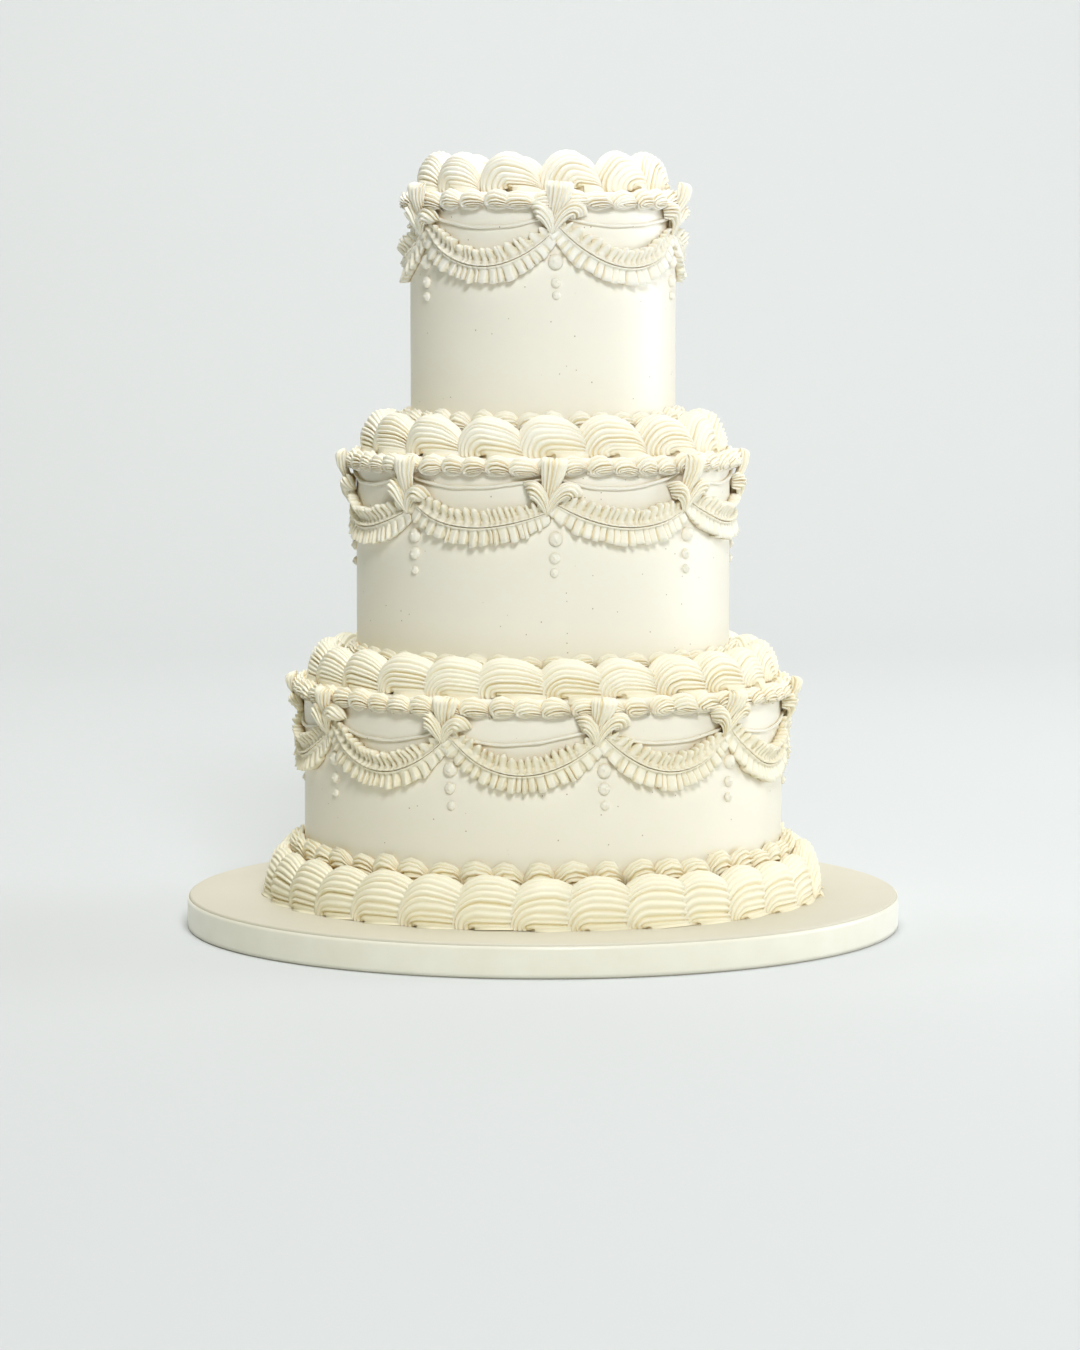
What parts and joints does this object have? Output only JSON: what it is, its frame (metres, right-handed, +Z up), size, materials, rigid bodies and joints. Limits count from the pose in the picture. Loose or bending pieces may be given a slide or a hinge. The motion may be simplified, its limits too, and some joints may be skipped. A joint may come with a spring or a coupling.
{
  "type": "wedding cake",
  "caption": "Tall round tiered wedding cake in ivory buttercream with piped shell borders, fleurs and ruffled swags, on a round board edged with satin ribbon.",
  "frame": {"origin": "centre of the board's underside", "axes": "+Z up along the axis of the tiers, -Y towards the front of the cake"},
  "size_m": [0.3556, 0.3556, 0.3847],
  "materials": {
    "buttercream": "matte, slightly satin",
    "board_cover": "matte",
    "satin_ribbon": "satin"
  },
  "bodies": {
    "root": {"cake_board": "board_cover", "board_ribbon": "satin_ribbon", "tier_bottom": "buttercream", "tier_middle": "buttercream", "tier_top": "buttercream", "base_shells": "buttercream", "base_beads": "buttercream", "bottom_rim_shells": "buttercream", "bottom_rim_beads": "buttercream", "bottom_swags": "buttercream", "bottom_fleur_01": "buttercream", "bottom_fleur_02": "buttercream", "bottom_fleur_03": "buttercream", "bottom_fleur_04": "buttercream", "bottom_fleur_05": "buttercream", "bottom_fleur_06": "buttercream", "bottom_fleur_07": "buttercream", "bottom_fleur_08": "buttercream", "bottom_fleur_09": "buttercream", "bottom_fleur_10": "buttercream", "middle_foot_beads": "buttercream", "middle_rim_shells": "buttercream", "middle_rim_beads": "buttercream", "middle_swags": "buttercream", "middle_fleur_01": "buttercream", "middle_fleur_02": "buttercream", "middle_fleur_03": "buttercream", "middle_fleur_04": "buttercream", "middle_fleur_05": "buttercream", "middle_fleur_06": "buttercream", "middle_fleur_07": "buttercream", "middle_fleur_08": "buttercream", "top_foot_beads": "buttercream", "top_rim_shells": "buttercream", "top_rim_beads": "buttercream", "top_swags": "buttercream", "top_fleur_01": "buttercream", "top_fleur_02": "buttercream", "top_fleur_03": "buttercream", "top_fleur_04": "buttercream", "top_fleur_05": "buttercream", "top_fleur_06": "buttercream"}
  },
  "joints": []
}
